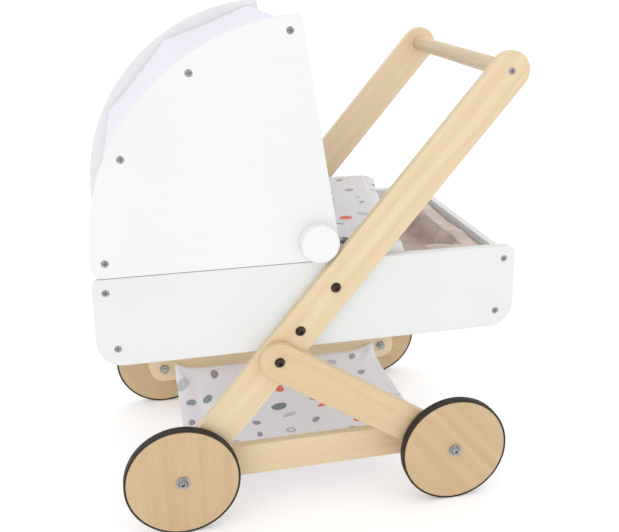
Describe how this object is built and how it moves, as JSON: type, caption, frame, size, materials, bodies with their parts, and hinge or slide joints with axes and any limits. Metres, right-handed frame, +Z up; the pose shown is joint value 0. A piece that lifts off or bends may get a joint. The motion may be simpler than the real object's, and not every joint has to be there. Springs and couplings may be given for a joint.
{
  "type": "doll stroller",
  "caption": "wooden doll's pram with slanted push bars, an open padded basket, a tipping quarter-round hood and a sagging cloth tray between its wheels",
  "frame": {"origin": "on the floor under the middle of the basket, half way between the axles and between the sides", "axes": "+X points back towards the person who pushes it, +Y points to that person's right, +Z is up"},
  "size_m": [0.4425, 0.3486, 0.5264],
  "materials": {
    "birch": "clear-lacquered light birch, fine straight grain",
    "wheel_wood": "clear-lacquered plywood face, fine straight grain",
    "white_board": "satin white paint on board",
    "tyre_rubber": "plain black rubber strip",
    "zinc_steel": "bright zinc plating",
    "black_steel": "black oxide",
    "brass": "machined brass",
    "hood_cloth": "plain woven white cotton",
    "spotted_cloth": "white cotton printed with scattered coloured stones",
    "taupe_plush": "short soft plush pile"
  },
  "bodies": {
    "frame": {"push_bar_left": "birch", "push_bar_right": "birch", "handle_dowel": "birch", "rear_leg_left": "birch", "rear_leg_right": "birch", "lower_rail_left": "birch", "lower_rail_right": "birch", "front_rail_spacers": "birch", "rear_rail_spacers": "birch", "front_axle_bolts": "zinc_steel", "rear_axle_bolts": "zinc_steel", "inner_washers": "zinc_steel", "outer_washers": "zinc_steel", "axle_nuts": "zinc_steel", "handle_screws": "zinc_steel", "basket_screws": "zinc_steel", "tray_screws": "zinc_steel", "frame_bolts": "black_steel", "frame_nuts": "black_steel", "leg_bolts": "black_steel", "leg_nuts": "black_steel", "basket_side_left": "white_board", "basket_side_right": "white_board", "basket_front_board": "white_board", "basket_rear_board": "white_board", "basket_floor": "white_board", "pivot_board_left": "white_board", "pivot_board_right": "white_board", "pivot_inserts": "brass", "tray_cloth": "spotted_cloth", "quilt": "spotted_cloth", "plush_liner": "taupe_plush"},
    "hood": {"hood_side_left": "white_board", "hood_side_right": "white_board", "hood_batten_1": "birch", "hood_batten_2": "birch", "hood_batten_3": "birch", "hood_batten_4": "birch", "hood_screws": "zinc_steel", "hood_cover": "hood_cloth"},
    "knob_left": {"hood_knob_left": "white_board", "knob_bolt_left": "zinc_steel"},
    "knob_right": {"hood_knob_right": "white_board", "knob_bolt_right": "zinc_steel"},
    "front_left_wheel": {"front_left_wheel_disc": "wheel_wood", "front_left_wheel_tyre": "tyre_rubber"},
    "front_right_wheel": {"front_right_wheel_disc": "wheel_wood", "front_right_wheel_tyre": "tyre_rubber"},
    "rear_left_wheel": {"rear_left_wheel_disc": "wheel_wood", "rear_left_wheel_tyre": "tyre_rubber"},
    "rear_right_wheel": {"rear_right_wheel_disc": "wheel_wood", "rear_right_wheel_tyre": "tyre_rubber"}
  },
  "joints": [
    {"name": "hood_tip", "type": "hinge", "parent": "frame", "child": "hood", "pos_m": [0.0035, 0, 0.3032], "axis": [0, 1, 0], "range_deg": [0, 98]},
    {"name": "knob_turn_left", "type": "hinge", "parent": "frame", "child": "knob_left", "pos_m": [0.0035, -0.1449, 0.3032], "axis": [0, 1, 0], "continuous": true},
    {"name": "knob_turn_right", "type": "hinge", "parent": "frame", "child": "knob_right", "pos_m": [0.0035, 0.1449, 0.3032], "axis": [0, 1, 0], "continuous": true},
    {"name": "front_left_wheel_spin", "type": "hinge", "parent": "frame", "child": "front_left_wheel", "pos_m": [-0.1475, -0.1548, 0.06], "axis": [0, 1, 0], "continuous": true},
    {"name": "front_right_wheel_spin", "type": "hinge", "parent": "frame", "child": "front_right_wheel", "pos_m": [-0.1475, 0.1548, 0.06], "axis": [0, 1, 0], "continuous": true},
    {"name": "rear_left_wheel_spin", "type": "hinge", "parent": "frame", "child": "rear_left_wheel", "pos_m": [0.1475, -0.1648, 0.06], "axis": [0, 1, 0], "continuous": true},
    {"name": "rear_right_wheel_spin", "type": "hinge", "parent": "frame", "child": "rear_right_wheel", "pos_m": [0.1475, 0.1648, 0.06], "axis": [0, 1, 0], "continuous": true}
  ]
}
